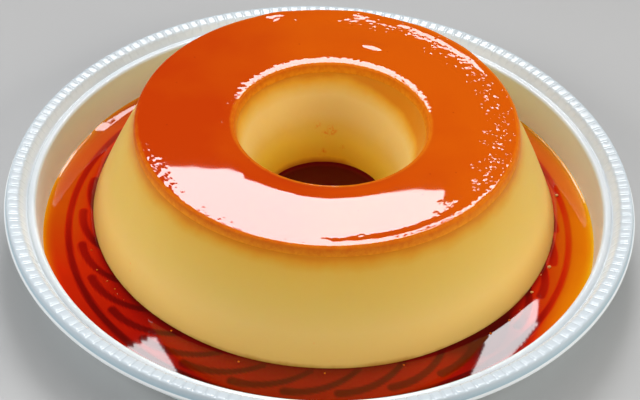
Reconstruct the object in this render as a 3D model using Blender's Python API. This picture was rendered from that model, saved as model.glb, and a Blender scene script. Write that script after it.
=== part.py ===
"""Creme caramel flan, turned out onto its white plastic plate.

Metres, +Z up. The plate's foot stands on Z = 0 and its rim is centred on X = Y = 0.
The flan is a ring of custard with a caramel-soaked layer on top. It stands a little
behind the middle of the plate, in a pool of caramel that also fills its hole.
"""
import bpy
import bmesh
from math import cos, pi, radians, sin, tan

# Driving dimensions
PLATE_RADIUS = 0.140            # to the edge of the lip
PLATE_SHEET = 0.0009            # thickness of the formed plastic
LIP_LEVEL = 0.0237              # underside of the lip
FLOOR_RADIUS = 0.1186           # flat part of the plate's floor
FLOOR_LEVEL = 0.0022            # upper side of that floor
GROOVE_RADIUS = 0.1130          # middle of the ring pressed into the floor
GROOVE_WIDTH = 0.0040
GROOVE_DEPTH = 0.0013           # its underside is the foot, at Z = 0
RIB_COUNT = 180                 # flutes around the rim
RIB_DEPTH = 0.0005
SAUCE_DEPTH = 0.0036            # above the floor
WELL_RISE = 0.0006              # how far the sauce in the hole stands above the pool
FLAN_CENTRE = (0.0020, 0.0126)
FLAN_HEIGHT = 0.0497            # above the pool
FLAN_BASE_RADIUS = 0.1057       # where the outer wall meets the pool
WALL_LEAN = radians(24.2)       # outer wall, from upright
WALL_BELLY = 0.0008             # how far that wall bulges halfway up
HOLE_WELL_RADIUS = 0.0275       # where the hole meets the sauce in it
HOLE_LEAN = radians(18.0)       # wall of the hole, from upright
HOLE_SHIFT = (0.0010, -0.0014)  # mouth of the hole, off the middle of the flan
EDGE_ROUND = 0.0050             # rounding of the two top edges
TOP_FALL = 0.0014               # how far the top falls from the hole to the outer edge
EDGE_TILT = radians(6.0)        # slope of the top where it meets the outer rounding
CAP_DEPTH = 0.0050              # caramel-soaked layer
GAP = 0.0003                    # between pieces that touch in the real thing
COLUMNS = 60                    # facets around a turned piece

# Levels that follow from them
POOL_LEVEL = FLOOR_LEVEL + SAUCE_DEPTH
WELL_LEVEL = POOL_LEVEL + WELL_RISE
TOP_LEVEL = POOL_LEVEL + FLAN_HEIGHT
CAP_LEVEL = TOP_LEVEL - CAP_DEPTH
EDGE_LEVEL = TOP_LEVEL - TOP_FALL

# Finishes: colour and roughness
WHITE_PLASTIC = ((0.74, 0.79, 0.84, 1.0), 0.32)
CUSTARD = ((0.72, 0.45, 0.13, 1.0), 0.42)
CARAMEL_LAYER = ((0.62, 0.11, 0.006, 1.0), 0.12)
SAUCE = ((0.36, 0.035, 0.003, 1.0), 0.05)


def clear_scene():
    for item in list(bpy.data.objects):
        bpy.data.objects.remove(item, do_unlink=True)


def make_material(name, finish):
    colour, roughness = finish
    material = bpy.data.materials.new(name)
    material.use_nodes = True
    shader = material.node_tree.nodes["Principled BSDF"]
    shader.inputs["Base Color"].default_value = colour
    shader.inputs["Roughness"].default_value = roughness
    shader.inputs["Metallic"].default_value = 0.0
    return material


def add_loop(bm, radius, level, columns=COLUMNS, crease=0.0, shift=0.0):
    """One loop of points around the axis, every second one lowered by crease.

    Shift is the share of the hole's own offset that the loop follows.
    """
    x, y = shift * HOLE_SHIFT[0], shift * HOLE_SHIFT[1]
    if radius == 0.0:
        return [bm.verts.new((x, y, level))]
    points = []
    for step in range(columns):
        angle = 2.0 * pi * step / columns
        height = level - crease * (step % 2)
        points.append(bm.verts.new((x + radius * cos(angle), y + radius * sin(angle), height)))
    return points


def close_pole(bm, loop, pole):
    for here, there in zip(loop, loop[1:] + loop[:1]):
        bm.faces.new((here, there, pole[0]))


def join_loops(bm, first, second):
    """Faces between two loops, whose counts are equal or one a multiple of the other."""
    if len(first) == 1 or len(second) == 1:
        pole, loop = sorted((first, second), key=len)
        close_pole(bm, loop, pole)
        return
    coarse, fine = sorted((first, second), key=len)
    share = len(fine) // len(coarse)
    for index, here in enumerate(coarse):
        there = coarse[(index + 1) % len(coarse)]
        run = [fine[(index * share + step) % len(fine)] for step in range(share + 1)]
        if share == 1:
            bm.faces.new((run[0], run[1], there, here))
            continue
        middle = (share + 1) // 2
        for step in range(share):
            bm.faces.new((run[step], run[step + 1], here if step < middle else there))
        bm.faces.new((here, run[middle], there))


def turn(name, loops, material, centre=(0.0, 0.0), closed=False):
    """A turned solid from loops of (radius, level), with add_loop's other values if given."""
    bm = bmesh.new()
    rings = [add_loop(bm, *loop) for loop in loops]
    for first, second in zip(rings, rings[1:]):
        join_loops(bm, first, second)
    if closed:
        join_loops(bm, rings[-1], rings[0])
    bmesh.ops.recalc_face_normals(bm, faces=bm.faces)
    mesh = bpy.data.meshes.new(name)
    bm.to_mesh(mesh)
    bm.free()
    mesh.shade_smooth()
    mesh.set_sharp_from_angle(angle=radians(35.0))
    mesh.materials.append(material)
    item = bpy.data.objects.new(name, mesh)
    item.location = (centre[0], centre[1], 0.0)
    bpy.context.collection.objects.link(item)
    return item


def arc(centre, size, start, end, steps):
    """Points on a rounding, from one slope of its normal to another."""
    points = []
    for step in range(steps + 1):
        angle = start + (end - start) * step / steps
        points.append((centre[0] + size * cos(angle), centre[1] + size * sin(angle)))
    return points


def floor_outline(offset=0.0):
    """Upper side of the plate, from the middle of its floor to the foot of its wall.

    A positive offset moves it up and inwards, to where the sauce on it starts.
    """
    half = GROOVE_WIDTH / 2.0
    slope = 0.6 * GROOVE_DEPTH
    bottom = FLOOR_LEVEL - GROOVE_DEPTH
    outline = [
        (0.0, FLOOR_LEVEL),
        (GROOVE_RADIUS - half, FLOOR_LEVEL),
        (GROOVE_RADIUS - half + slope, bottom),
        (GROOVE_RADIUS + half - slope, bottom),
        (GROOVE_RADIUS + half, FLOOR_LEVEL),
    ]
    outline = [(radius, level + offset) for radius, level in outline]
    corner = [
        (FLOOR_RADIUS, FLOOR_LEVEL),
        (FLOOR_RADIUS + 0.0032, FLOOR_LEVEL + 0.0010),
        (FLOOR_RADIUS + 0.0050, FLOOR_LEVEL + 0.0024),
        (FLOOR_RADIUS + 0.0058, FLOOR_LEVEL + 0.0042),
    ]
    lean = (0.0, 0.4, 0.8, 1.0)
    for (radius, level), share in zip(corner, lean):
        outline.append((radius - offset * share, level + offset * (1.0 - share)))
    return outline


def rim(inset, rise):
    """A point of the rim, measured inwards and upwards from the lip."""
    return (PLATE_RADIUS - inset, LIP_LEVEL + rise)


def build_plate():
    """Thin formed plate: grooved floor, steep wall, smooth ridge, fluted rim and lip."""
    wall_and_ridge = [
        rim(0.0141, -0.0025),
        rim(0.0134, 0.0000),
        rim(0.0120, 0.0011),
        rim(0.0107, 0.0009),
        rim(0.0097, 0.0002),
    ]
    flutes = [
        rim(0.0064, 0.0037) + (2 * RIB_COUNT, RIB_DEPTH),
        rim(0.0032, 0.0049) + (2 * RIB_COUNT, RIB_DEPTH),
    ]
    flange_and_lip = [
        rim(0.0015, 0.0041),
        rim(0.0009, 0.0015),
        rim(0.0000, 0.0008),
        rim(0.0000, 0.0000),
        rim(0.0014, 0.0000),
    ]
    underside = [
        rim(0.0018, 0.0013),
        rim(0.0024, 0.0032),
        rim(0.0050, 0.0032),
        rim(0.0070, 0.0017),
        rim(0.0097, -0.0008),
        rim(0.0120, 0.0001),
        rim(0.0132, -0.0025),
    ]
    base = []
    for radius, level in reversed(floor_outline()):
        spread = 0.8 * PLATE_SHEET if radius > FLOOR_RADIUS else 0.0
        base.append((radius + spread, level - PLATE_SHEET))
    loops = floor_outline() + wall_and_ridge + flutes + flange_and_lip + underside + base
    return turn("plate", loops, make_material("white_plastic", WHITE_PLASTIC))


def outer_shoulder():
    """Height at which the leaning outer wall turns into the rounded top edge."""
    return EDGE_LEVEL - EDGE_ROUND * (cos(EDGE_TILT) - sin(WALL_LEAN))


def hole_shoulder():
    """Height at which the wall of the hole turns into its rounded mouth."""
    return TOP_LEVEL - EDGE_ROUND * (1.0 - sin(HOLE_LEAN))


def outer_radius(level):
    """Radius of the flan's outer wall, upright below the pool."""
    height = max(level - POOL_LEVEL, 0.0)
    full = outer_shoulder() - POOL_LEVEL
    belly = WALL_BELLY * sin(pi * min(height / full, 1.0))
    return FLAN_BASE_RADIUS - height * tan(WALL_LEAN) + belly


def hole_radius(level):
    return HOLE_WELL_RADIUS + (level - POOL_LEVEL) * tan(HOLE_LEAN)


def hole_loop(level, clearance=0.0):
    """A loop of the hole's wall, which leans off the middle as it rises."""
    shift = (level - POOL_LEVEL) / FLAN_HEIGHT
    return (hole_radius(level) - clearance, level, COLUMNS, 0.0, shift)


def build_custard():
    """Ring of custard, from the plate's floor up to the caramel layer."""
    bottom = FLOOR_LEVEL + GAP
    top = CAP_LEVEL - GAP
    bellied = [POOL_LEVEL + FLAN_HEIGHT * share for share in (0.3, 0.6)]
    outside = [(outer_radius(level), level) for level in [bottom, POOL_LEVEL] + bellied + [top]]
    inside = [hole_loop(level) for level in (top, POOL_LEVEL, bottom)]
    material = make_material("custard", CUSTARD)
    return turn("custard", outside + inside, material, FLAN_CENTRE, closed=True)


def build_caramel_layer():
    """Caramel-soaked top of the flan, falling gently outwards, with both edges rounded."""
    outer_turn = pi / 2.0 - EDGE_TILT
    outer_centre = (
        outer_radius(outer_shoulder()) - EDGE_ROUND * cos(WALL_LEAN),
        EDGE_LEVEL - EDGE_ROUND * sin(outer_turn),
    )
    inner_centre = (
        hole_radius(hole_shoulder()) + EDGE_ROUND * cos(HOLE_LEAN),
        TOP_LEVEL - EDGE_ROUND,
    )
    outer_edge = arc(outer_centre, EDGE_ROUND, WALL_LEAN, outer_turn, 3)
    inner_edge = arc(inner_centre, EDGE_ROUND, pi / 2.0, pi - HOLE_LEAN, 3)
    wide, narrow = outer_edge[-1][0], inner_edge[0][0]
    slope = []
    for share in (0.25, 0.5, 0.75):
        radius = wide + (narrow - wide) * share
        slope.append((radius, TOP_LEVEL - TOP_FALL * (1.0 - share) ** 2, COLUMNS, 0.0, share))
    mouth = [point + (COLUMNS, 0.0, 1.0) for point in inner_edge]
    foot = [(outer_radius(CAP_LEVEL), CAP_LEVEL)]
    loops = foot + outer_edge + slope + mouth + [hole_loop(CAP_LEVEL)]
    material = make_material("caramel_layer", CARAMEL_LAYER)
    return turn("caramel_top", loops, material, FLAN_CENTRE, closed=True)


def radius_at(outline, level):
    """Radius at which a rising outline passes a level."""
    for (inner, low), (outer, high) in zip(outline, outline[1:]):
        if low <= level < high:
            return inner + (outer - inner) * (level - low) / (high - low)
    return outline[-1][0]


def build_pool(material):
    """Sauce between the plate's wall and the custard, down into the ring groove."""
    outline = floor_outline(GAP)
    surface = [(radius_at(outline, POOL_LEVEL), POOL_LEVEL), (0.0, POOL_LEVEL)]
    bed = [point for point in outline if point[1] < POOL_LEVEL]
    pool = turn("caramel_pool", bed + surface, material)
    reach = FLAN_BASE_RADIUS + GAP
    low, high = -FLOOR_LEVEL, POOL_LEVEL + FLOOR_LEVEL
    drum = [(0.0, low), (reach, low), (reach, high), (0.0, high)]
    cutter = turn("custard_cutter", drum, material, FLAN_CENTRE)
    cutter.hide_render = True
    cutter.display_type = "WIRE"
    cut = pool.modifiers.new("custard stands here", "BOOLEAN")
    cut.operation = "DIFFERENCE"
    cut.solver = "EXACT"
    cut.object = cutter
    return pool


def build_well(material):
    """Sauce at the bottom of the flan's hole."""
    bottom = FLOOR_LEVEL + GAP
    sides = [hole_loop(bottom, GAP), hole_loop(WELL_LEVEL, GAP)]
    loops = [(0.0, bottom)] + sides + [(0.0, WELL_LEVEL)]
    return turn("caramel_well", loops, material, FLAN_CENTRE)


def main():
    clear_scene()
    build_plate()
    build_custard()
    build_caramel_layer()
    sauce = make_material("caramel_sauce", SAUCE)
    build_pool(sauce)
    build_well(sauce)


main()
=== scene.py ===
from math import ceil, cos, hypot, pi, radians, sin, tan

import bmesh
import bpy
import numpy as np
from mathutils import Matrix, Vector, noise


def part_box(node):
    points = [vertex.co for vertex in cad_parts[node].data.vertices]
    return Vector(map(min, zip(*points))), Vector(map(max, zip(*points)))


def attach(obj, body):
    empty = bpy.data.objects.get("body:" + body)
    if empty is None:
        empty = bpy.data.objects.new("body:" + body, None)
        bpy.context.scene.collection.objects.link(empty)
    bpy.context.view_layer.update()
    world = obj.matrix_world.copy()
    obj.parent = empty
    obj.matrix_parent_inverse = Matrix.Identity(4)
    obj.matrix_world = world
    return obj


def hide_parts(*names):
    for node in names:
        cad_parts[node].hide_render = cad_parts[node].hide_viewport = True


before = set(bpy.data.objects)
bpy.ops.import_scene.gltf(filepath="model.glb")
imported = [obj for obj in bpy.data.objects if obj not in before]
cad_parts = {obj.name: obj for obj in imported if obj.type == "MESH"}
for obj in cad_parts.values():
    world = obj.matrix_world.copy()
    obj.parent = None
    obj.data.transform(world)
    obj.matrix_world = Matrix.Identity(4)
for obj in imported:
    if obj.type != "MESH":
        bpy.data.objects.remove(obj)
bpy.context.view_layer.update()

mm = 0.001

# places and sizes that the frame gives, in metres
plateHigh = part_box("plate")[1]
custardLow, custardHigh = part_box("custard")
capLow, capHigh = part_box("caramel_top")
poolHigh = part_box("caramel_pool")[1]
wellLow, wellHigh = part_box("caramel_well")
flanCentre = (custardLow + custardHigh) / 2
flanRadius = (custardHigh.x - custardLow.x) / 2
wellRadius = (wellHigh.x - wellLow.x) / 2
flanHeight = capHigh.z - poolHigh.z
print("frame read: flan", round(2 * flanRadius, 4), "m across on a plate of", round(2 * plateHigh.x, 4))


# small helpers for meshes, node trees and materials

def smoothStep(low, high, value):
    share = np.clip((np.asarray(value, float) - low) / (high - low), 0.0, 1.0)
    return share * share * (3.0 - 2.0 * share)


def addObject(name, data):
    item = bpy.data.objects.new(name, data)
    bpy.context.scene.collection.objects.link(item)
    return item


def addMeshObject(name, points, faces=(), edges=()):
    mesh = bpy.data.meshes.new(name)
    mesh.from_pydata([tuple(p) for p in points], [tuple(e) for e in edges], [tuple(f) for f in faces])
    mesh.update()
    return addObject(name, mesh)


def addBmeshObject(name, bm):
    mesh = bpy.data.meshes.new(name)
    bm.to_mesh(mesh)
    bm.free()
    return addObject(name, mesh)


def turnFrom(angle, middle):
    # degrees from one direction round to another, between -180 and 180
    return np.mod(angle - middle + 180.0, 360.0) - 180.0


def fromFlanAxis(points):
    return np.hypot(points[:, 0] - flanCentre.x, points[:, 1] - flanCentre.y)


def closeUp(item, distance=0.00001):
    # seams and poles merged, faces turned outwards, smooth shading
    bm = bmesh.new()
    bm.from_mesh(item.data)
    bmesh.ops.remove_doubles(bm, verts=bm.verts, dist=distance)
    bmesh.ops.dissolve_degenerate(bm, edges=bm.edges, dist=distance / 10)
    bmesh.ops.recalc_face_normals(bm, faces=bm.faces)
    bm.to_mesh(item.data)
    bm.free()
    item.data.shade_smooth()
    item.data.update()


def readPoints(item):
    points = np.empty(len(item.data.vertices) * 3, np.float32)
    item.data.vertices.foreach_get("co", points)
    return points.reshape(-1, 3).astype(float)


def writePoints(item, points):
    item.data.vertices.foreach_set("co", points.astype(np.float32).ravel())
    item.data.update()


def readNormals(item):
    normals = np.empty(len(item.data.vertices) * 3, np.float32)
    item.data.vertex_normals.foreach_get("vector", normals)
    return normals.reshape(-1, 3).astype(float)


def addAttribute(item, name, values):
    attribute = item.data.attributes.new(name, "FLOAT", "POINT")
    attribute.data.foreach_set("value", np.asarray(values, np.float32))


def noiseAt(points, size, seed=0.0):
    # smooth noise between about -1 and 1, whose lumps are as wide as size
    return np.array([noise.noise(Vector(p) / size + Vector((seed, -seed, 0.7 * seed))) for p in points])


def addNode(tree, kind, inputs=None, **settings):
    # makes a node; an input's value is another node's socket or a plain value
    node = tree.nodes.new(kind)
    for name, value in settings.items():
        setattr(node, name, value)
    for key, value in (inputs or {}).items():
        if isinstance(value, bpy.types.NodeSocket):
            tree.links.new(value, node.inputs[key])
        else:
            node.inputs[key].default_value = value
    return node


def addMath(tree, operation, first, second=0.0):
    return addNode(tree, "ShaderNodeMath", {0: first, 1: second}, operation=operation).outputs[0]


def addVectorMath(tree, operation, inputs):
    return addNode(tree, "ShaderNodeVectorMath", inputs, operation=operation).outputs


def mapRange(tree, value, low, high, first=0.0, last=1.0):
    inputs = {0: value, 1: low, 2: high, 3: first, 4: last}
    return addNode(tree, "ShaderNodeMapRange", inputs).outputs[0]


def objectPlace(tree):
    return addNode(tree, "ShaderNodeTexCoord").outputs["Object"]


def readAttribute(tree, name):
    return addNode(tree, "ShaderNodeAttribute", attribute_name=name).outputs["Fac"]


def startTree(name, sockets):
    tree = bpy.data.node_groups.new(name, "GeometryNodeTree")
    tree.interface.new_socket("Geometry", in_out="INPUT", socket_type="NodeSocketGeometry")
    for label, kind in sockets:
        tree.interface.new_socket(label, in_out="INPUT", socket_type="NodeSocket" + kind)
    tree.interface.new_socket("Geometry", in_out="OUTPUT", socket_type="NodeSocketGeometry")
    return tree, tree.nodes.new("NodeGroupInput").outputs


def endTree(tree, geometry, material):
    smooth = addNode(tree, "GeometryNodeSetShadeSmooth", {"Geometry": geometry}).outputs[0]
    painted = addNode(tree, "GeometryNodeSetMaterial", {"Geometry": smooth, "Material": material})
    addNode(tree, "NodeGroupOutput", {"Geometry": painted.outputs[0]})


def runTree(item, tree, values):
    # gives the tree its inputs, bakes the result to a plain mesh and drops the modifier
    modifier = item.modifiers.new(tree.name, "NODES")
    modifier.node_group = tree
    for socket in tree.interface.items_tree:
        if socket.in_out == "INPUT" and socket.name in values:
            modifier[socket.identifier] = values[socket.name]
    bpy.context.view_layer.update()
    evaluated = item.evaluated_get(bpy.context.evaluated_depsgraph_get())
    baked = bpy.data.meshes.new_from_object(evaluated)
    item.modifiers.clear()
    item.data = baked
    baked.name = item.name
    closeUp(item)
    return item


def startMaterial(name, **sockets):
    material = bpy.data.materials.new(name)
    material.use_nodes = True
    tree = material.node_tree
    shader = tree.nodes["Principled BSDF"]
    for label, value in sockets.items():
        shader.inputs[label].default_value = value
    return material, tree, shader.inputs


def addRamp(tree, factor, stops):
    ramp = addNode(tree, "ShaderNodeValToRGB", {"Fac": factor})
    elements = ramp.color_ramp.elements
    while len(elements) < len(stops):
        elements.new(0.5)
    for element, (place, colour) in zip(elements, sorted(stops, key=lambda stop: stop[0])):
        element.position = place
        element.color = (*colour, 1.0)
    return ramp.outputs["Color"]


def addMix(tree, share, first, second):
    mix = addNode(tree, "ShaderNodeMix", data_type="RGBA")
    for index, value in ((0, share), (6, first), (7, second)):
        if isinstance(value, bpy.types.NodeSocket):
            tree.links.new(value, mix.inputs[index])
        else:
            mix.inputs[index].default_value = value
    return mix.outputs[2]


def addNoise(tree, size, detail=2.0, roughness=0.5):
    # lumps as wide as size, on the piece's own coordinates
    inputs = {"Vector": objectPlace(tree), "Scale": 1.0 / size, "Detail": detail, "Roughness": roughness}
    return addNode(tree, "ShaderNodeTexNoise", inputs).outputs["Fac"]


def addWobble(tree, height, size, detail=2.0, roughness=0.5):
    # the same noise, centred on 0 and scaled
    centred = addMath(tree, "SUBTRACT", addNoise(tree, size, detail, roughness), 0.5)
    return addMath(tree, "MULTIPLY", centred, height)


def addBump(tree, height, distance, strength=1.0, before=None):
    inputs = {"Height": height, "Distance": distance, "Strength": strength}
    if before:
        inputs["Normal"] = before
    return addNode(tree, "ShaderNodeBump", inputs).outputs["Normal"]


def roundCorners(corners, stepAngle=radians(18)):
    # outline from corners of (radius, level, rounding), in millimetres
    outline = []
    for index, (radius, level, rounding) in enumerate(corners):
        here = Vector((radius, level))
        if rounding == 0.0:
            outline.append(tuple(here))
            continue
        before = (Vector(corners[index - 1][:2]) - here).normalized()
        after = (Vector(corners[(index + 1) % len(corners)][:2]) - here).normalized()
        opening = before.angle(after)
        reach = rounding / tan(opening / 2)
        centre = here + (before + after).normalized() * (rounding / sin(opening / 2))
        start = here + before * reach - centre
        turn = pi - opening
        side = 1.0 if before.x * after.y - before.y * after.x < 0.0 else -1.0
        steps = max(2, ceil(turn / stepAngle))
        for step in range(steps + 1):
            angle = side * turn * step / steps
            x = start.x * cos(angle) - start.y * sin(angle)
            y = start.x * sin(angle) + start.y * cos(angle)
            outline.append(tuple(centre + Vector((x, y))))
    return outline


def addRows(outline, spacing, first=-1e9, last=1e9):
    # extra points on an outline's long runs between two radii
    rows = [outline[0]]
    for (r0, z0), (r1, z1) in zip(outline, outline[1:]):
        inside = first <= min(r0, r1) and max(r0, r1) <= last
        count = max(1, ceil(hypot(r1 - r0, z1 - z0) / spacing)) if inside else 1
        rows += [(r0 + (r1 - r0) * k / count, z0 + (z1 - z0) * k / count) for k in range(1, count + 1)]
    return rows


# plate: formed white plastic, one sector with its flutes and stroke, repeated around

plate = {
    "sectors": 30,               # each with one stroke in the floor
    "flutesPerSector": 6,
    "fluteDepth": 0.58,
    "fluteBand": (130.7, 138.3),  # radii between which the flutes run
    "fluteFoot": 22.5,           # they lie above this level
    "sheet": 0.9,
    "floorLevel": 2.2,
    "ringRadius": 113.0,         # groove pressed round the floor
    "ringWidth": 3.7,
    "ringDepth": 1.3,
    "strokeTip": 107.2,          # outer end of a stroke, and where it starts, in degrees
    "strokeStart": 11.7,
    "strokeSpan": 17.5,          # degrees that it sweeps
    "strokeBend": 0.041,         # millimetres inwards for each degree squared
    "strokeHalfWidth": (2.35, 1.5),
    "strokeDepth": 1.05,
    "strokeBand": (85.0, 111.0),  # radii between which the strokes lie
    "wallBand": (117.0, 127.0),
    "rowZones": [                # inner and outer radius, spacing of rows on the upper and the lower side
        (86.0, 111.5, 1.6, 5.0),
        (130.9, 138.6, 0.95, 2.2),
        (123.0, 127.0, 3.5, 6.0),
    ],
    "smoothColumns": 12,         # columns in a sector where nothing repeats
    "reliefColumns": 24,
    "fluteColumns": 48,
    "colour": (0.80, 0.85, 0.88),
    "shade": (0.74, 0.80, 0.84),
    # painted light: the wall lighter and bluer, the flutes greyer and the flange blue-grey as painted shade,
    # the lip lighter as a painted highlight
    "wallPaintedLight": (0.84, 0.98, 1.0),
    "ribColour": (0.61, 0.68, 0.73),
    "flangeColour": (0.40, 0.54, 0.62),
    "lipColour": (0.84, 0.88, 0.90),
    "wallZone": (0.1268, 0.1258),   # metres from the axis over which each of these fades in
    "ribZone": (0.1322, 0.1342),
    "flangeZone": (0.1386, 0.1392),
    "lipZone": (0.1393, 0.1395),
    "roughness": 0.13,
    "wallRoughness": 0.50,
    "frontSag": 2.4,             # the soft ridge sinks this far in front, over this many degrees
    "sagSpread": (40.0, 95.0),
    "ridgeLevels": (8.0, 22.0),  # what sinks: above these levels and inside these radii
    "ridgeRadii": (129.8, 132.2),
}


def strokeShape(radius, angle):
    # 1 along the middle of a stroke, 0 outside it; radius in millimetres, angle in degrees
    pitch = 360.0 / plate["sectors"]
    fromTip = np.mod(angle - plate["strokeStart"], pitch)
    wide, narrow = plate["strokeHalfWidth"]
    shape = np.zeros_like(fromTip)
    for lap in (-1, 0, 1, 2):
        along = fromTip + lap * pitch
        held = np.clip(along, 0.0, plate["strokeSpan"])
        middle = plate["strokeTip"] - plate["strokeBend"] * held ** 2
        slope = 2.0 * plate["strokeBend"] * held / radians(1) / plate["strokeTip"]
        across = (radius - middle) / np.hypot(1.0, slope)
        past = radians(1) * (along - held) * radius
        halfWidth = wide + (narrow - wide) * held / plate["strokeSpan"]
        shape = np.maximum(shape, 1.0 - smoothStep(0.55, 1.1, np.hypot(across, past) / halfWidth))
    return shape


def fluteShape(radius, angle):
    # 0 on the pillows' crowns and outside the band, 1 in the creases between them
    share = np.mod(angle * plate["flutesPerSector"] * plate["sectors"] / 360.0, 1.0)
    crease = np.abs(2.0 * share - 1.0) ** 8
    inner, outer = plate["fluteBand"]
    return crease * smoothStep(inner, inner + 1.2, radius) * (1.0 - smoothStep(outer - 0.5, outer, radius))


def upperOutline():
    floorLevel, ring, half = plate["floorLevel"], plate["ringRadius"], plate["ringWidth"] / 2
    low = floorLevel - plate["ringDepth"]
    corners = [
        (0.0, floorLevel, 0.0),
        (30.0, floorLevel, 0.0),
        (60.0, floorLevel, 0.0),
        (86.0, floorLevel, 0.0),
        (ring - half, floorLevel, 0.5),
        (ring - half + 0.9, low, 0.5),
        (ring + half - 0.9, low, 0.5),
        (ring + half, floorLevel, 0.5),
        (123.9, floorLevel, 5.2),
        (126.3, 25.4, 1.5),
        (129.2, 25.0, 1.4),
        (130.1, 23.9, 0.6),
        (131.0, 25.2, 0.8),
        (133.4, 28.1, 2.2),
        (138.5, 28.9, 1.1),
        (139.2, 25.2, 0.5),
        (140.0, 24.7, 0.35),
        (140.0, 23.7, 0.2),
    ]
    return roundCorners(corners)


def lowerOutline():
    sheet = plate["sheet"]
    floorLevel, ring, half = plate["floorLevel"] - sheet, plate["ringRadius"], plate["ringWidth"] / 2
    low = floorLevel - plate["ringDepth"]
    corners = [
        (138.5, 23.7, 0.2),
        (138.3, 24.7, 0.3),
        (137.5, 27.8, 0.7),
        (133.8, 27.2, 1.4),
        (131.7, 24.3, 0.3),
        (130.4, 22.1, 0.6),
        (128.8, 24.1, 0.5),
        (127.1, 24.4, 0.5),
        (124.9, floorLevel, 5.6),
        (ring + half + 0.5, floorLevel, 0.5),
        (ring + half - 0.4, low, 0.5),
        (ring - half + 0.4, low, 0.5),
        (ring - half - 0.5, floorLevel, 0.5),
        (86.0, floorLevel, 0.0),
        (60.0, floorLevel, 0.0),
        (30.0, floorLevel, 0.0),
        (0.0, floorLevel, 0.0),
    ]
    return roundCorners(corners, radians(30))


def bridgeRows(bm, first, second):
    # faces between two open rows, one of which may have twice or four times the columns
    if len(first) == 1 or len(second) == 1:
        pole, row = (first[0], second) if len(first) == 1 else (second[0], first)
        for here, there in zip(row, row[1:]):
            bm.faces.new((here, there, pole))
        return
    coarse, fine = sorted((first, second), key=len)
    share = (len(fine) - 1) // (len(coarse) - 1)
    for index in range(len(coarse) - 1):
        here, there = coarse[index], coarse[index + 1]
        run = fine[index * share:index * share + share + 1]
        if share == 1:
            bm.faces.new((here, there, run[1], run[0]))
            continue
        middle = share // 2
        for step in range(share):
            bm.faces.new((run[step], run[step + 1], here if step < middle else there))
        bm.faces.new((here, run[middle], there))


def plateRows():
    # every row of the section as (radius, level, columns, upper side or not)
    inner, outer = plate["fluteBand"]
    smooth, relief, fluted = plate["smoothColumns"], plate["reliefColumns"], plate["fluteColumns"]
    strokeInner, strokeOuter = plate["strokeBand"]
    rows = []
    for isUpper, outline in ((True, upperOutline()), (False, lowerOutline())):
        for inside, outside, above, below in plate["rowZones"]:
            outline = addRows(outline, above if isUpper else below, inside, outside)
        for radius, level in outline:
            columns = smooth
            if strokeInner < radius < strokeOuter:
                columns = relief
            elif inner - 0.4 < radius < outer + 0.3 and level > plate["fluteFoot"]:
                columns = fluted if isUpper else relief
            elif radius > outer:
                columns = relief
            rows.append((radius, level, columns if radius > 0.0 else 0, isUpper))
    return rows


def sectorPoints(radius, level, columns, isUpper):
    if columns == 0:
        return [(0.0, 0.0, level * mm)]
    angles = np.linspace(0.0, 360.0 / plate["sectors"], columns + 1)
    around = np.full(columns + 1, radius)
    height = level - plate["fluteDepth"] * fluteShape(around, angles) * (1.0 if isUpper else 0.9)
    if level < plate["floorLevel"] + 0.1 and radius < plate["ringRadius"] - plate["ringWidth"]:
        height = height - plate["strokeDepth"] * strokeShape(around, angles)
    turns = [radians(angle) for angle in angles]
    return [(radius * cos(turn) * mm, radius * sin(turn) * mm, h * mm) for turn, h in zip(turns, height)]


def buildRingTree():
    tree, given = startTree("sector repeated round the plate", [("Count", "Int"), ("Material", "Material")])
    points = addNode(tree, "GeometryNodePoints", {"Count": given["Count"]}).outputs[0]
    step = addMath(tree, "DIVIDE", 2 * pi, given["Count"])
    angle = addMath(tree, "MULTIPLY", addNode(tree, "GeometryNodeInputIndex").outputs[0], step)
    turned = addNode(tree, "ShaderNodeCombineXYZ", {"Z": angle}).outputs[0]
    inputs = {"Points": points, "Instance": given["Geometry"], "Rotation": turned}
    placed = addNode(tree, "GeometryNodeInstanceOnPoints", inputs).outputs[0]
    real = addNode(tree, "GeometryNodeRealizeInstances", {"Geometry": placed}).outputs[0]
    welded = addNode(tree, "GeometryNodeMergeByDistance", {"Geometry": real, "Distance": 0.00002}).outputs[0]
    endTree(tree, welded, given["Material"])
    return tree


def buildPlateMaterial():
    material, tree, shader = startMaterial("white formed plastic", Roughness=plate["roughness"], IOR=1.5)
    shader["Subsurface Weight"].default_value = 0.12
    shader["Subsurface Radius"].default_value = (1.0, 1.0, 1.0)
    shader["Subsurface Scale"].default_value = 0.0012
    body = addRamp(tree, addNoise(tree, 0.030, 3.0), [(0.35, plate["shade"]), (0.60, plate["colour"])])
    # colour and gloss change with the distance from the axis: this stands in for shade and
    # for reflections, since the plastic itself is plain: the flutes' grey and the flange's blue-grey
    # are painted shade, the lip's lighter band a painted highlight, the wall's lighter, bluer colour painted
    # light
    flat = addVectorMath(tree, "MULTIPLY", {0: objectPlace(tree), 1: (1.0, 1.0, 0.0)})[0]
    fromAxis = addVectorMath(tree, "LENGTH", {0: flat})["Value"]
    for part in ("rib", "flange", "lip"):
        zone = mapRange(tree, fromAxis, *plate[part + "Zone"])
        body = addMix(tree, zone, body, (*plate[part + "Colour"], 1.0))
    wall = mapRange(tree, fromAxis, *plate["wallZone"])
    tree.links.new(addMix(tree, wall, body, (*plate["wallPaintedLight"], 1.0)), shader["Base Color"])
    finish = mapRange(tree, wall, 0.0, 1.0, plate["roughness"], plate["wallRoughness"])
    tree.links.new(finish, shader["Roughness"])
    grain = addBump(tree, addNoise(tree, 0.0015, 2.0), 0.00002, 0.4)
    tree.links.new(grain, shader["Normal"])
    return material


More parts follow.
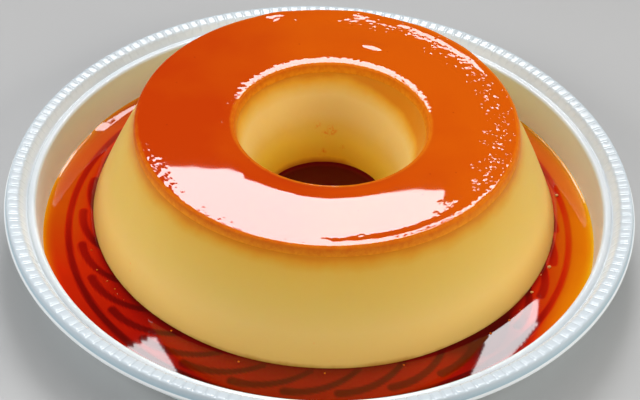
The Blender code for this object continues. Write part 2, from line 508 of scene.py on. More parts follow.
def makePlate():
    bm = bmesh.new()
    rows = [[bm.verts.new(p) for p in sectorPoints(*row)] for row in plateRows()]
    for first, second in zip(rows, rows[1:]):
        bridgeRows(bm, first, second)
    item = addBmeshObject("plate_formed", bm)
    values = {"Count": plate["sectors"], "Material": buildPlateMaterial()}
    runTree(item, buildRingTree(), values)
    points = readPoints(item)
    radius = np.hypot(points[:, 0], points[:, 1]) / mm
    fromFront = np.abs(turnFrom(np.degrees(np.arctan2(points[:, 1], points[:, 0])), -90.0))
    near, far = plate["sagSpread"]
    sag = plate["frontSag"] * (1.0 - smoothStep(near, far, fromFront))
    ridge = smoothStep(*plate["ridgeLevels"], points[:, 2] / mm)
    ridge = ridge * (1.0 - smoothStep(*plate["ridgeRadii"], radius))
    points[:, 2] -= sag * ridge * mm
    writePoints(item, points)
    return item


def plateRadiusAt(level):
    # radius of the plate's upper side where its wall passes a level, both in metres
    wall = [(radius, height) for radius, height in upperOutline() if radius > plate["ringRadius"] + 3.0]
    for (r0, z0), (r1, z1) in zip(wall, wall[1:]):
        if z0 <= level / mm < z1:
            return (r0 + (r1 - r0) * (level / mm - z0) / (z1 - z0)) * mm
    return wall[0][0] * mm


def floorLevelAt(x, y):
    # level of the plate's upper side under the sauce, in metres
    radius, angle = np.hypot(x, y) / mm, np.degrees(np.arctan2(y, x))
    floorLevel = plate["floorLevel"]
    half = plate["ringWidth"] / 2
    fromRing = np.abs(radius - plate["ringRadius"])
    level = floorLevel - plate["ringDepth"] * (1.0 - smoothStep(half - 0.9, half + 0.2, fromRing))
    level = level - plate["strokeDepth"] * strokeShape(radius, angle) * (radius < plate["strokeBand"][1])
    inner, outer = plate["wallBand"]
    wall = [(r, z) for r, z in upperOutline() if inner < r < outer]
    rising = np.interp(radius, [r for r, z in wall], [z for r, z in wall])
    return np.where(radius > wall[0][0], rising, level) * mm


# turned pieces: a section swept round the flan's axis

turned = {
    "holeLean": 18.0,            # degrees from upright
    "wallLean": 24.2,
    "mouthShift": (1.8, -1.4),   # mouth of the hole, off the axis
    "belly": 0.8,
    "edgeRound": 1.8,
    "mouthRound": 1.7,
    "shoulder": 4.7,             # width of the gentle slope round the mouth, and its steepest degrees
    "shoulderTilt": 12.0,
}


def outerRadiusAt(level):
    # outer wall of the flan, in millimetres
    height = max(level - poolHigh.z / mm, 0.0)
    full = flanHeight / mm - 4.0
    belly = turned["belly"] * sin(pi * min(height / full, 1.0))
    return flanRadius / mm - height * tan(radians(turned["wallLean"])) + belly


def holeRadiusAt(level):
    return wellRadius / mm + 0.3 + (level - wellHigh.z / mm) * tan(radians(turned["holeLean"]))


def buildTurnTree():
    # each point of the section becomes a row; its Y holds how much of the mouth's shift it takes
    sockets = [("Columns", "Int"), ("Centre", "Vector"), ("Mouth shift", "Vector"), ("Material", "Material")]
    tree, given = startTree("section turned round an axis", sockets)
    size = addNode(tree, "GeometryNodeAttributeDomainSize", {"Geometry": given["Geometry"]})
    rows = size.outputs["Point Count"]
    edges = addMath(tree, "ADD", given["Columns"], 1.0)
    grid = addNode(tree, "GeometryNodeMeshGrid", {"Vertices X": edges, "Vertices Y": rows}).outputs[0]
    index = addNode(tree, "GeometryNodeInputIndex").outputs[0]
    row = addMath(tree, "MODULO", index, rows)
    column = addMath(tree, "FLOOR", addMath(tree, "DIVIDE", addMath(tree, "ADD", index, 0.5), rows))
    angle = addMath(tree, "MULTIPLY", addMath(tree, "DIVIDE", column, given["Columns"]), 2 * pi)
    place = addNode(tree, "GeometryNodeInputPosition").outputs[0]
    inputs = {"Geometry": given["Geometry"], "Value": place, "Index": row}
    sampled = addNode(tree, "GeometryNodeSampleIndex", inputs, data_type="FLOAT_VECTOR").outputs[0]
    section = addNode(tree, "ShaderNodeSeparateXYZ", {0: sampled}).outputs
    across = addMath(tree, "MULTIPLY", section[0], addMath(tree, "COSINE", angle))
    along = addMath(tree, "MULTIPLY", section[0], addMath(tree, "SINE", angle))
    spoke = addNode(tree, "ShaderNodeCombineXYZ", {0: across, 1: along, 2: section[2]}).outputs[0]
    shift = addVectorMath(tree, "SCALE", {0: given["Mouth shift"], "Scale": section[1]})[0]
    moved = addVectorMath(tree, "ADD", {0: spoke, 1: shift})[0]
    final = addVectorMath(tree, "ADD", {0: moved, 1: given["Centre"]})[0]
    shaped = addNode(tree, "GeometryNodeSetPosition", {"Geometry": grid, "Position": final}).outputs[0]
    inputs = {"Geometry": shaped, "Distance": 0.00001}
    welded = addNode(tree, "GeometryNodeMergeByDistance", inputs).outputs[0]
    endTree(tree, welded, given["Material"])
    return tree


turnTree = buildTurnTree()


def turnSection(name, section, columns, material):
    # section: closed or pole-to-pole points of (radius, level, share of the mouth's shift), in millimetres
    points = [(radius * mm, share, level * mm) for radius, level, share in section]
    item = addMeshObject(name, points, edges=[(k, k + 1) for k in range(len(points) - 1)])
    shiftX, shiftY = turned["mouthShift"]
    values = {
        "Columns": columns,
        "Centre": (flanCentre.x, flanCentre.y, 0.0),
        "Mouth shift": (shiftX * mm, shiftY * mm, 0.0),
        "Material": material,
    }
    return runTree(item, turnTree, values)


custard = {
    "columns": 260,
    "rowHeight": 1.3,
    "unevenness": 0.16,          # how far the wall wanders, over lumps this wide
    "unevennessSize": 26.0,
    "pitting": 0.035,
    "pittingSize": 3.2,
    "colours": {                 # outside, from the pool up to the caramel
        # the lowest stop is partly a sauce stain and partly painted shade where the custard meets the pool
        0.0: (0.50, 0.24, 0.035),
        0.04: (0.74, 0.49, 0.130),
        0.32: (0.79, 0.555, 0.160),
        0.54: (0.77, 0.535, 0.125),
        0.765: (0.755, 0.490, 0.092),
        0.86: (0.75, 0.455, 0.072),
        0.90: (0.735, 0.390, 0.044),
        0.945: (0.735, 0.310, 0.017),
        0.985: (0.68, 0.200, 0.003),
    },
    "holeColours": {             # wall of the hole, from its sauce up
        # the stops between the sauce's soak and the caramel's are lighter than the outside's: painted light
        # low in the hole
        0.0: (0.13, 0.008, 0.003),
        0.045: (0.62, 0.19, 0.006),
        0.10: (1.00, 0.56, 0.024),
        0.30: (0.95, 0.62, 0.060),
        0.43: (0.86, 0.57, 0.100),
        0.56: (0.85, 0.60, 0.180),
        0.76: (0.85, 0.61, 0.200),
        0.84: (0.83, 0.53, 0.110),
        0.92: (0.80, 0.38, 0.025),
        0.98: (0.70, 0.22, 0.004),
    },
    "smudges": [                 # on the wall of the hole: degrees, level, size
        (86.0, 22.5, 3.4), (98.0, 25.3, 2.4), (93.0, 12.0, 2.6), (91.0, 20.5, 2.6), (76.0, 15.0, 1.8),
    ],
    "speck": (0.92, 0.22, 0.004),
    "speckCells": (150.0, 0.085, 0.90, 0.55),   # scale, reach in a cell, share without, strength
    "tint": (0.86, 0.50, 0.10),
    "tintShare": 0.16,
    "soakRight": 0.19,           # how much further down the caramel has soaked at the hole's right,
    "soakReach": (0.010, 0.050),   # which starts and ends at these places along X
    "roughness": 0.38,
}


def custardSection():
    # its top row dips into the caramel layer, just over the row where the two meet
    bottom, meeting = custardLow.z / mm, capLow.z / mm - 0.05
    count = ceil((meeting - bottom) / custard["rowHeight"])
    levels = [bottom + (meeting - bottom) * step / count for step in range(count)]
    levels += [meeting - 0.3, meeting]
    outer = [(outerRadiusAt(level), level, 0.0) for level in levels]
    inner = [(holeRadiusAt(level), level, (level * mm - poolHigh.z) / flanHeight) for level in levels[::-1]]
    outer.append((outerRadiusAt(meeting) - 0.5, meeting + 0.3, 0.0))
    inner.insert(0, (holeRadiusAt(meeting) + 0.5, meeting + 0.3, inner[0][2]))
    return outer + inner + outer[:1]


def buildCustardMaterial():
    material, tree, shader = startMaterial("baked custard", Roughness=custard["roughness"], IOR=1.40)
    shader["Subsurface Weight"].default_value = 0.35
    shader["Subsurface Radius"].default_value = (1.0, 0.55, 0.18)
    shader["Subsurface Scale"].default_value = 0.004
    place = objectPlace(tree)
    along = addNode(tree, "ShaderNodeSeparateXYZ", {0: place}).outputs
    raised = addMath(tree, "ADD", along[2], addWobble(tree, 0.0035, 0.012, 3.0, 0.6))
    share = mapRange(tree, raised, poolHigh.z, capLow.z)
    outside = addRamp(tree, share, list(custard["colours"].items()))
    soaked = mapRange(tree, along[0], *custard["soakReach"], 0.0, custard["soakRight"])
    inside = addRamp(tree, addMath(tree, "ADD", share, soaked), list(custard["holeColours"].items()))
    wall = addMix(tree, readAttribute(tree, "holeSide"), outside, inside)
    mottled = addMath(tree, "MULTIPLY", addNoise(tree, 0.020, 2.0), custard["tintShare"])
    tinted = addMix(tree, mottled, wall, (*custard["tint"], 1.0))
    # little specks in some of the cells, and ragged smudges at chosen places in the hole
    scale, reach, without, strength = custard["speckCells"]
    cells = addNode(tree, "ShaderNodeTexVoronoi", {"Vector": place, "Scale": scale}).outputs
    near = mapRange(tree, cells["Distance"], 0.0, reach, 1.0, 0.0)
    draw = addNode(tree, "ShaderNodeSeparateColor", {0: cells["Color"]}).outputs[0]
    present = addMath(tree, "MULTIPLY", near, addMath(tree, "GREATER_THAN", draw, without))
    speck = addMath(tree, "MULTIPLY", present, strength)
    broken = mapRange(tree, addNoise(tree, 0.0022, 3.0, 0.7), 0.48, 0.62, 0.0, 0.8)
    for degrees, height, size in custard["smudges"]:
        away = holeRadiusAt(height) * mm
        spotX = flanCentre.x + away * cos(radians(degrees))
        spotY = flanCentre.y + away * sin(radians(degrees))
        fromSpot = addVectorMath(tree, "DISTANCE", {0: place, 1: (spotX, spotY, height * mm)})["Value"]
        patch = mapRange(tree, fromSpot, 0.3 * size * mm, size * mm, 1.0, 0.0)
        speck = addMath(tree, "MAXIMUM", speck, addMath(tree, "MULTIPLY", patch, broken))
    tree.links.new(addMix(tree, speck, tinted, (*custard["speck"], 1.0)), shader["Base Color"])
    pores = addBump(tree, addNoise(tree, 0.0016, 3.0, 0.6), 0.00006, 0.5)
    tree.links.new(addBump(tree, addNoise(tree, 0.007, 2.0), 0.00016, 0.5, pores), shader["Normal"])
    return material


def makeCustard():
    item = turnSection("custard_ring", custardSection(), custard["columns"], buildCustardMaterial())
    points, normals = readPoints(item), readNormals(item)
    middle = 0.5 * (outerRadiusAt(25.0) + holeRadiusAt(25.0)) * mm
    fromAxis = fromFlanAxis(points)
    wander = noiseAt(points, custard["unevennessSize"] * mm, 3.1) * custard["unevenness"]
    pitted = noiseAt(points, custard["pittingSize"] * mm, 7.7) * custard["pitting"]
    free = smoothStep(poolHigh.z - 1 * mm, poolHigh.z + 1 * mm, points[:, 2])
    free = free * (1.0 - smoothStep(capLow.z - 3 * mm, capLow.z, points[:, 2]))
    writePoints(item, points + normals * ((wander + pitted) * free * mm)[:, None])
    addAttribute(item, "holeSide", 1.0 * (fromAxis < middle))
    return item


cap = {
    "columns": 600,
    "topRows": 84,
    "edgeRows": 14,
    "overhang": 1.1,             # the rim stands out over the custard
    "headroom": 0.55,            # kept over the level top for what rises from it
    "wander": (0.025, 34.0),     # height and width of the lumps: slow ones all over,
    "fineWander": (0.0022, 6.0),   # fine ones all over,
    "rimWander": (0.052, 1.8),   # and quick ones along the two edges, which fade in over these radii
    "outerEdge": (76.0, 81.0),
    "innerEdge": (46.0, 49.0),
    "ridges": [                  # raised or sunk rings: middle and half width in degrees, then
        # radius, half widths inside and outside it, height
        (-8.0, 88.0, 81.6, 1.9, 4.5, 0.32),
        (78.0, 62.0, 74.0, 9.0, 4.5, -0.25),
    ],
    "swells": [                  # (degrees, radius, size along, size across, height)
        (70.8, 59.6, 7.5, 2.6, 0.42),
        (-92.0, 44.0, 34.0, 5.5, -0.30),
        (108.0, 85.5, 8.0, 6.0, 0.64),
        (80.5, 85.5, 9.5, 6.0, 0.64),
        (57.0, 85.5, 9.0, 6.5, 0.62),
        (43.0, 85.0, 11.0, 6.5, 0.62),
    ],
    "beads": 420,                # little bumps along the right and the back
    "beadSeed": 11,
    "beadAngles": (32.0, 32.0),  # middle and spread in degrees
    "beadReach": (79.0, 4.0),    # largest radius, and how far they stray inwards
    "beadHeight": 0.16,
    "deep": (0.54, 0.042, 0.0003),
    "light": (0.66, 0.098, 0.0006),
    "rim": (0.84, 0.290, 0.010),
    "rimDeep": (0.76, 0.215, 0.007),
    "rimLeast": 0.50,            # least share of the rim's colour on the outer and the mouth's rounding
    "rimRounding": (82.0, 84.6),
    "mouthRounding": (43.8, 46.2),
    "rimBare": 0.60,             # share of it that is lost round this direction,
    "bareTurn": (160.0, 12.0, 44.0),   # fully within the first spread, not past the second,
    "bareRadii": (70.0, 76.0),   # outside these radii
    "blisterTurn": (28.0, 35.0, 72.0),   # the same for the fine blisters
    "blisterRadii": (66.0, 75.0),
    "speckle": (0.36, 0.016, 0.0003),
    "gloss": (0.02, 1.55),       # roughness and refraction of the wet top, then of the skirt below it
    "dull": (0.55, 1.30),
    "dullFrom": 0.80,            # the skirt starts where the surface faces up less than this
}


def capSection():
    # foot, outer rounding, level top, shoulder, mouth rounding, down the hole and back under
    lean, holeLean = radians(turned["wallLean"]), radians(turned["holeLean"])
    size, mouthSize, tilt = turned["edgeRound"], turned["mouthRound"], radians(turned["shoulderTilt"])
    foot, top = capLow.z / mm, capHigh.z / mm - cap["headroom"]
    outerStart = top - size * (1.0 - sin(lean))
    outerCentre = (outerRadiusAt(outerStart) + cap["overhang"] - size * cos(lean), top - size)
    drop = 0.5 * turned["shoulder"] * tan(tilt)
    innerLevel = top - drop - mouthSize * cos(tilt)
    innerRadius = holeRadiusAt(innerLevel + mouthSize * sin(holeLean)) + mouthSize * cos(holeLean)
    hidden = foot - 0.9
    section = [
        (outerRadiusAt(hidden) - 0.7, hidden, 0.0),
        (outerRadiusAt(foot - 0.3) - 0.15, foot - 0.3, 0.0),
        (outerRadiusAt(foot), foot, 0.0),
    ]
    for step in range(cap["edgeRows"] + 1):
        angle = lean + (pi / 2 - lean) * step / cap["edgeRows"]
        section.append((outerCentre[0] + size * cos(angle), outerCentre[1] + size * sin(angle), 0.0))
    wide, narrow = section[-1][0], innerRadius - mouthSize * sin(tilt)
    for step in range(1, cap["topRows"]):
        share = step / cap["topRows"]
        radius = wide + (narrow - wide) * share
        into = max(narrow + turned["shoulder"] - radius, 0.0) / turned["shoulder"]
        section.append((radius, top - drop * into ** 2, share))
    for step in range(cap["edgeRows"] + 1):
        angle = pi / 2 + tilt + (pi / 2 - holeLean - tilt) * step / cap["edgeRows"]
        section.append((innerRadius + mouthSize * cos(angle), innerLevel + mouthSize * sin(angle), 1.0))
    section.append((holeRadiusAt(foot), foot, 1.0))
    section.append((holeRadiusAt(foot - 0.3) + 0.15, foot - 0.3, 1.0))
    section.append((holeRadiusAt(hidden) + 0.7, hidden, 1.0))
    gap = (section[0][0] - section[-1][0]) / 4
    section += [(section[-1][0] + gap * step, hidden, 1.0 - step / 4) for step in (1, 2, 3)]
    return section + section[:1]


def raiseRidges(radius, angle):
    lift = np.zeros_like(radius)
    for middle, spread, place, inner, outer, height in cap["ridges"]:
        present = 1.0 - smoothStep(spread - 22.0, spread, np.abs(turnFrom(angle, middle)))
        across = (radius - place) / np.where(radius < place, inner, outer)
        lift += height * present * np.exp(-across * across)
    for middle, place, long, wide, height in cap["swells"]:
        off = radians(1) * turnFrom(angle, middle) * radius
        lift += height * np.exp(-(off / long) ** 2 - ((radius - place) / wide) ** 2)
    return lift


def raiseBeads(points):
    # tiny blisters, thickest at the back right and along the right edge
    draw = np.random.RandomState(cap["beadSeed"])
    lift = np.zeros(len(points))
    angles = np.radians(draw.normal(*cap["beadAngles"], cap["beads"]))
    farthest, stray = cap["beadReach"]
    reach = farthest - np.abs(draw.normal(0.0, stray, cap["beads"]))
    sizes = draw.uniform(0.45, 1.0, cap["beads"]) * draw.uniform(0.8, 1.2, cap["beads"])
    for angle, away, size in zip(angles, reach, sizes):
        x = flanCentre.x + away * mm * cos(angle)
        y = flanCentre.y + away * mm * sin(angle)
        close = np.hypot(points[:, 0] - x, points[:, 1] - y) / (size * mm)
        lift += cap["beadHeight"] * size * np.clip(1.0 - close ** 2, 0.0, 1.0) ** 2
    return lift


def buildCapMaterial(name, finish):
    material, tree, shader = startMaterial(name, Roughness=finish[0], IOR=finish[1])
    place = objectPlace(tree)
    along = addNode(tree, "ShaderNodeSeparateXYZ", {0: place}).outputs
    # lighter to the right and the back
    away = addMath(tree, "ADD", along[0], addMath(tree, "MULTIPLY", along[1], 0.45))
    share = addMath(tree, "ADD", mapRange(tree, away, -0.075, 0.080), addWobble(tree, 0.9, 0.040, 3.0))
    top = addRamp(tree, share, [(0.15, cap["deep"]), (0.85, cap["light"])])
    dots = addNode(tree, "ShaderNodeTexVoronoi", {"Vector": place, "Scale": 110.0}).outputs["Distance"]
    dot = mapRange(tree, dots, 0.02, 0.075, 0.55, 0.0)
    top = addMix(tree, dot, top, (*cap["speckle"], 1.0))
    soak = addMath(tree, "ADD", readAttribute(tree, "edgeFade"), addWobble(tree, 0.30, 0.006, 3.0, 0.65))
    rim = mapRange(tree, soak, 0.15, 0.95)
    amber = addRamp(tree, addNoise(tree, 0.0022, 3.0, 0.6), [(0.42, cap["rim"]), (0.66, cap["rimDeep"])])
    tree.links.new(addMix(tree, rim, top, amber), shader["Base Color"])
    # fine blisters, only where the attribute says so, and only in some of the cells
    cells = addNode(tree, "ShaderNodeTexVoronoi", {"Vector": place, "Scale": 520.0}).outputs
    blister = mapRange(tree, cells["Distance"], 0.05, 0.36, 1.0, 0.0)
    draw = addNode(tree, "ShaderNodeSeparateColor", {0: cells["Color"]}).outputs[0]
    present = addMath(tree, "MULTIPLY", blister, addMath(tree, "GREATER_THAN", draw, 0.55))
    height = addMath(tree, "MULTIPLY", present, readAttribute(tree, "blistered"))
    tree.links.new(addBump(tree, height, 0.00022), shader["Normal"])
    return material


def makeCap():
    wet = buildCapMaterial("caramel soaked layer", cap["gloss"])
    item = turnSection("caramel_layer", capSection(), cap["columns"], wet)
    points, normals = readPoints(item), readNormals(item)
    fromAxis = fromFlanAxis(points) / mm
    angle = np.degrees(np.arctan2(points[:, 1] - flanCentre.y, points[:, 0] - flanCentre.x))
    foot, top = capLow.z / mm, capHigh.z / mm
    upper = smoothStep(foot + 0.5, foot + 3.0, points[:, 2] / mm)
    facing = smoothStep(0.75, 0.98, normals[:, 2])
    lumps = (cap["wander"], cap["fineWander"])
    lift = sum(height * noiseAt(points, size * mm, 1.3) for height, size in lumps) * facing
    edge = smoothStep(*cap["outerEdge"], fromAxis) + (1.0 - smoothStep(*cap["innerEdge"], fromAxis))
    height, size = cap["rimWander"]
    lift += height * noiseAt(points, size * mm, 5.2) * edge * upper
    lift += (raiseRidges(fromAxis, angle) + raiseBeads(points)) * facing
    points = points + normals * (lift * upper * mm)[:, None]
    points[:, 2] = np.minimum(points[:, 2], capHigh.z)
    writePoints(item, points)
    # the amber of the two edges, less of it round one side
    fade = 1.0 - smoothStep(foot + 0.1, top - 0.9, points[:, 2] / mm)
    shiftX, shiftY = turned["mouthShift"]
    mouthX, mouthY = flanCentre.x + shiftX * mm, flanCentre.y + shiftY * mm
    fromMouth = np.hypot(points[:, 0] - mouthX, points[:, 1] - mouthY) / mm
    outerPart = smoothStep(*cap["rimRounding"], fromAxis)
    mouthPart = 1.0 - smoothStep(*cap["mouthRounding"], fromMouth)
    fade = np.maximum(fade, cap["rimLeast"] * np.maximum(outerPart, mouthPart))
    middle, near, far = cap["bareTurn"]
    bare = 1.0 - smoothStep(near, far, np.abs(turnFrom(angle, middle)))
    fade *= 1.0 - cap["rimBare"] * bare * smoothStep(*cap["bareRadii"], fromAxis)
    addAttribute(item, "edgeFade", fade)
    middle, near, far = cap["blisterTurn"]
    patchy = smoothStep(0.05, 0.45, noiseAt(points, 7.0 * mm, 9.4) + 0.25)
    blistered = patchy * (1.0 - smoothStep(near, far, np.abs(turnFrom(angle, middle))))
    addAttribute(item, "blistered", blistered * smoothStep(*cap["blisterRadii"], fromAxis) * facing)
    # below the rounded rim the layer is dull, with a ragged border
    item.data.materials.clear()
    for material in (wet, buildCapMaterial("caramel soaked skirt", cap["dull"])):
        item.data.materials.append(material)
    middles = np.array([tuple(face.center) for face in item.data.polygons])
    upright = np.array([face.normal.z for face in item.data.polygons])
    skirt = upright + 0.10 * noiseAt(middles, 2.5 * mm, 4.4) < cap["dullFrom"]
    item.data.polygons.foreach_set("material_index", skirt.astype(np.int32))
    return item


# caramel sauce: the pool round the flan and the well in its hole

sauce = {
    "columns": 900,
    "rows": 42,
    "flanRise": 0.75,            # how far it climbs the custard, and over what width
    "flanRun": 0.8,
    "wallRise": 0.6,             # the same at the plate's wall
    "wallRun": 1.1,
    "flanCalm": (0.25, 14.0, 34.0),   # in front only this share of each climb is left, and it comes
    "wallCalm": (0.1, 40.0, 80.0),    # back between these degrees from the front
    "highestClimb": 1.5,
    "skirt": 1.6,                # how far the pool's outer edge reaches down
    "bite": 0.35,                # how far it reaches into what it touches
    "wideRise": (136.0, 21.0, 1.25, 4.4),   # a broader climb at the back: degrees, spread, rise, run
    # the colour follows the depth over the floor, to which these are added; the mesh has none of them
    # colour only: more depth, so darker, at the left and in front, less at the right; in front it is partly
    # painted shade cast by the flan
    "lean": (-0.30, -0.75, -3.0),   # more at the left, less at the right, more in front
    "spare": -0.15,
    # painted shade: extra depth, so a darker colour, beside the custard's foot
    "flanPaintedShade": (1.3, 5.0),     # more beside the custard, and over what width
    "hollow": (-43.0, 104.0, 18.0, 2.3),    # one deeper patch: degrees, radius, size, depth
    "shallow": (-26.0, 20.0, 110.0, 120.0, 1.7),   # less at the wall: degrees, spread, two radii, depth
    "colours": {                 # by that depth, in millimetres
        0.0: (0.90, 0.48, 0.020),
        0.8: (0.88, 0.38, 0.003),
        2.2: (0.82, 0.225, 0.0008),
        3.2: (0.74, 0.135, 0.0005),
        3.9: (0.68, 0.082, 0.0004),
        4.7: (0.65, 0.022, 0.0004),
        5.6: (0.37, 0.005, 0.0004),
        6.4: (0.18, 0.002, 0.0003),
        7.2: (0.09, 0.0015, 0.0002),
    },
    "deepest": 7.2,
    "roughness": 0.02,
    "wellColumns": 180,
    "wellRows": 26,
    "wellClimb": (1.1, 0.9),     # rise at the wall of the hole, and over what width
    "wellColour": (0.078, 0.0002, 0.0020),
    "wellEdge": (0.125, 0.003, 0.0028),
}


def buildSauceMaterial():
    material, tree, shader = startMaterial("thin caramel sauce", Roughness=sauce["roughness"], IOR=1.50)
    stops = [(depth / sauce["deepest"], colour) for depth, colour in sauce["colours"].items()]
    clouded = addMath(tree, "ADD", readAttribute(tree, "sauceDepth"), addWobble(tree, 0.06, 0.018, 3.0))
    body = addRamp(tree, clouded, stops)
    tree.links.new(body, shader["Base Color"])
    tree.links.new(addBump(tree, addNoise(tree, 0.030, 1.0), 0.00010, 0.2), shader["Normal"])
    return material


def buildWellMaterial():
    material, tree, shader = startMaterial("deep caramel sauce", Roughness=sauce["roughness"], IOR=1.30)
    uneven = addMath(tree, "MULTIPLY", addNoise(tree, 0.006, 2.0), 0.2)
    ragged = addMath(tree, "ADD", readAttribute(tree, "nearWall"), uneven)
    body = addRamp(tree, ragged, [(0.6, sauce["wellColour"]), (1.0, sauce["wellEdge"])])
    tree.links.new(body, shader["Base Color"])
    tree.links.new(addBump(tree, addNoise(tree, 0.010, 1.0), 0.00010, 0.2), shader["Normal"])
    return material


def makePool():
    columns, rows, bite = sauce["columns"], sauce["rows"], sauce["bite"] * mm
    angles = np.linspace(0.0, 2 * pi, columns, endpoint=False)
    spokes = np.stack([np.cos(angles), np.sin(angles)], 1)
    wallRadius = plateRadiusAt(poolHigh.z + sauce["wallRise"] * mm) + bite
    inner = np.array([flanCentre.x, flanCentre.y]) + spokes * (flanRadius - bite - 0.2 * mm)
    outer = spokes * wallRadius
    fromFront = np.abs(turnFrom(np.degrees(angles), -90.0))
    least, near, far = sauce["flanCalm"]
    flanRise = sauce["flanRise"] * (least + (1.0 - least) * smoothStep(near, far, fromFront))
    least, near, far = sauce["wallCalm"]
    wallRise = sauce["wallRise"] * (least + (1.0 - least) * smoothStep(near, far, fromFront))
    wideMiddle, wideSpread, wideHeight, wideRun = sauce["wideRise"]
    fromWide = np.abs(turnFrom(np.degrees(angles), wideMiddle))
    wideRise = wideHeight * (1.0 - smoothStep(0.6 * wideSpread, wideSpread, fromWide))
    loops = []
    for row in range(rows + 1):
        share = row / rows
        share = 0.5 - 0.5 * cos(pi * share) if row not in (0, rows) else share
        share = 0.6 * share + 0.4 * row / rows
        flat = inner + (outer - inner) * share
        fromFlan = fromFlanAxis(flat) - flanRadius
        fromWall = wallRadius - bite - np.hypot(flat[:, 0], flat[:, 1])
        climb = flanRise * np.exp(-np.maximum(fromFlan, 0.0) / (sauce["flanRun"] * mm))
        climb += wallRise * np.exp(-np.maximum(fromWall, 0.0) / (sauce["wallRun"] * mm))
        climb = np.maximum(climb, wideRise * np.clip(1.0 - fromWall / (wideRun * mm), 0.0, 1.0))
        loops.append(np.column_stack([flat, poolHigh.z + np.minimum(climb, sauce["highestClimb"]) * mm]))
    low = poolHigh.z - sauce["skirt"] * mm
    outerLow = spokes * (plateRadiusAt(low) + 0.3 * mm)
    loops.append(np.column_stack([outerLow, np.full(columns, low)]))
    loops.append(np.column_stack([inner, np.full(columns, low)]))
    count = len(loops)
    faces = []
    for ring in range(count):
        here, there = ring * columns, ((ring + 1) % count) * columns
        for k in range(columns):
            faces.append((here + k, here + (k + 1) % columns, there + (k + 1) % columns, there + k))
    item = addMeshObject("sauce_pool", np.concatenate(loops), faces)
    closeUp(item)
    item.data.materials.append(buildSauceMaterial())
    points = readPoints(item)
    depth = (points[:, 2] - floorLevelAt(points[:, 0], points[:, 1])) / mm
    # darker to the left and in front, where it is partly painted shade cast by the flan, lighter to the right
    leftDepth, rightDepth, frontDepthAndShade = sauce["lean"]
    depthBySide = np.where(points[:, 0] > 0.0, rightDepth, leftDepth) * points[:, 0]
    depthBySide += frontDepthAndShade * np.minimum(points[:, 1], 0.0)
    depth = depth + sauce["spare"] + depthBySide / poolHigh.x
    # painted shade: darker beside the custard's foot
    flanShade, run = sauce["flanPaintedShade"]
    fromFlan = np.maximum(fromFlanAxis(points) - flanRadius, 0.0)
    depth = depth + flanShade * np.exp(-fromFlan / (run * mm))
    degrees, radius, size, extra = sauce["hollow"]
    hollowX, hollowY = radius * cos(radians(degrees)), radius * sin(radians(degrees))
    fromHollow = np.hypot(points[:, 0] / mm - hollowX, points[:, 1] / mm - hollowY)
    depth = depth + extra * np.exp(-(fromHollow / size) ** 2)
    degrees, spread, within, beyond, lost = sauce["shallow"]
    around = turnFrom(np.degrees(np.arctan2(points[:, 1], points[:, 0])), degrees)
    nearWall = smoothStep(within, beyond, np.hypot(points[:, 0], points[:, 1]) / mm)
    depth = depth - lost * np.exp(-(around / spread) ** 2) * nearWall
    addAttribute(item, "sauceDepth", np.clip(depth / sauce["deepest"], 0.0, 1.0))
    return item


def makeWell():
    level, bottom = wellHigh.z / mm, wellLow.z / mm
    reach = holeRadiusAt(level) + sauce["bite"]
    rows = sauce["wellRows"]
    rise, run = sauce["wellClimb"]
    section = []
    for step in range(rows + 1):
        radius = reach * (1.0 - (1.0 - step / rows) ** 1.6)
        climb = rise * np.exp(-(reach - radius) / run)
        section.append((radius, level + climb, (level * mm - poolHigh.z) / flanHeight))
    section += [(holeRadiusAt(bottom) + 0.2, bottom, 0.0), (0.0, bottom, 0.0)]
    item = turnSection("sauce_in_hole", section, sauce["wellColumns"], buildWellMaterial())
    points = readPoints(item)
    fromAxis = fromFlanAxis(points) / mm
    addAttribute(item, "nearWall", smoothStep(reach - 5.0, reach - 0.5, fromAxis))
    return item


# bubbles in the sauce and crumbs of custard at the flan's foot

loose = {
    "bubbles": {"Count": 16, "Smallest": 0.00025, "Largest": 0.0006, "Seed": 4},
    "crumbs": {"Count": 4, "Smallest": 0.00035, "Largest": 0.0008, "Seed": 8},
}


def buildScatterTree():
    # copies of the given shape at random places on a ring
    sockets = [
        ("Count", "Int"), ("Seed", "Int"), ("Centre", "Vector"), ("Inner radius", "Float"),
        ("Outer radius", "Float"), ("First angle", "Float"), ("Last angle", "Float"),
        ("Smallest", "Float"), ("Largest", "Float"), ("Material", "Material"),
    ]
    tree, given = startTree("small pieces on a ring", sockets)

    def draw(low, high, lap):
        inputs = {2: low, 3: high, 8: addMath(tree, "ADD", given["Seed"], lap)}
        return addNode(tree, "FunctionNodeRandomValue", inputs).outputs[1]

    angle = draw(given["First angle"], given["Last angle"], 0)
    radius = draw(given["Inner radius"], given["Outer radius"], 1)
    x = addMath(tree, "MULTIPLY", radius, addMath(tree, "COSINE", angle))
    y = addMath(tree, "MULTIPLY", radius, addMath(tree, "SINE", angle))
    spoke = addNode(tree, "ShaderNodeCombineXYZ", {0: x, 1: y}).outputs[0]
    place = addVectorMath(tree, "ADD", {0: spoke, 1: given["Centre"]})[0]
    points = addNode(tree, "GeometryNodePoints", {"Count": given["Count"], "Position": place}).outputs[0]
    spin = addNode(tree, "ShaderNodeCombineXYZ", {2: draw(0.0, 2 * pi, 2)}).outputs[0]
    size = draw(given["Smallest"], given["Largest"], 3)
    inputs = {"Points": points, "Instance": given["Geometry"], "Rotation": spin, "Scale": size}
    placed = addNode(tree, "GeometryNodeInstanceOnPoints", inputs).outputs[0]
    real = addNode(tree, "GeometryNodeRealizeInstances", {"Geometry": placed}).outputs[0]
    endTree(tree, real, given["Material"])
    return tree


scatterTree = buildScatterTree()


def addLump(name, lumpiness, flatness, seed):
    # a small closed shape one unit in radius
    bm = bmesh.new()
    bmesh.ops.create_icosphere(bm, subdivisions=2, radius=1.0)
    for vert in bm.verts:
        vert.co = vert.co * (1.0 + lumpiness * noise.noise(vert.co * 1.3 + Vector((seed, 0.0, seed))))
        vert.co.z = vert.co.z * flatness
    return addBmeshObject(name, bm)


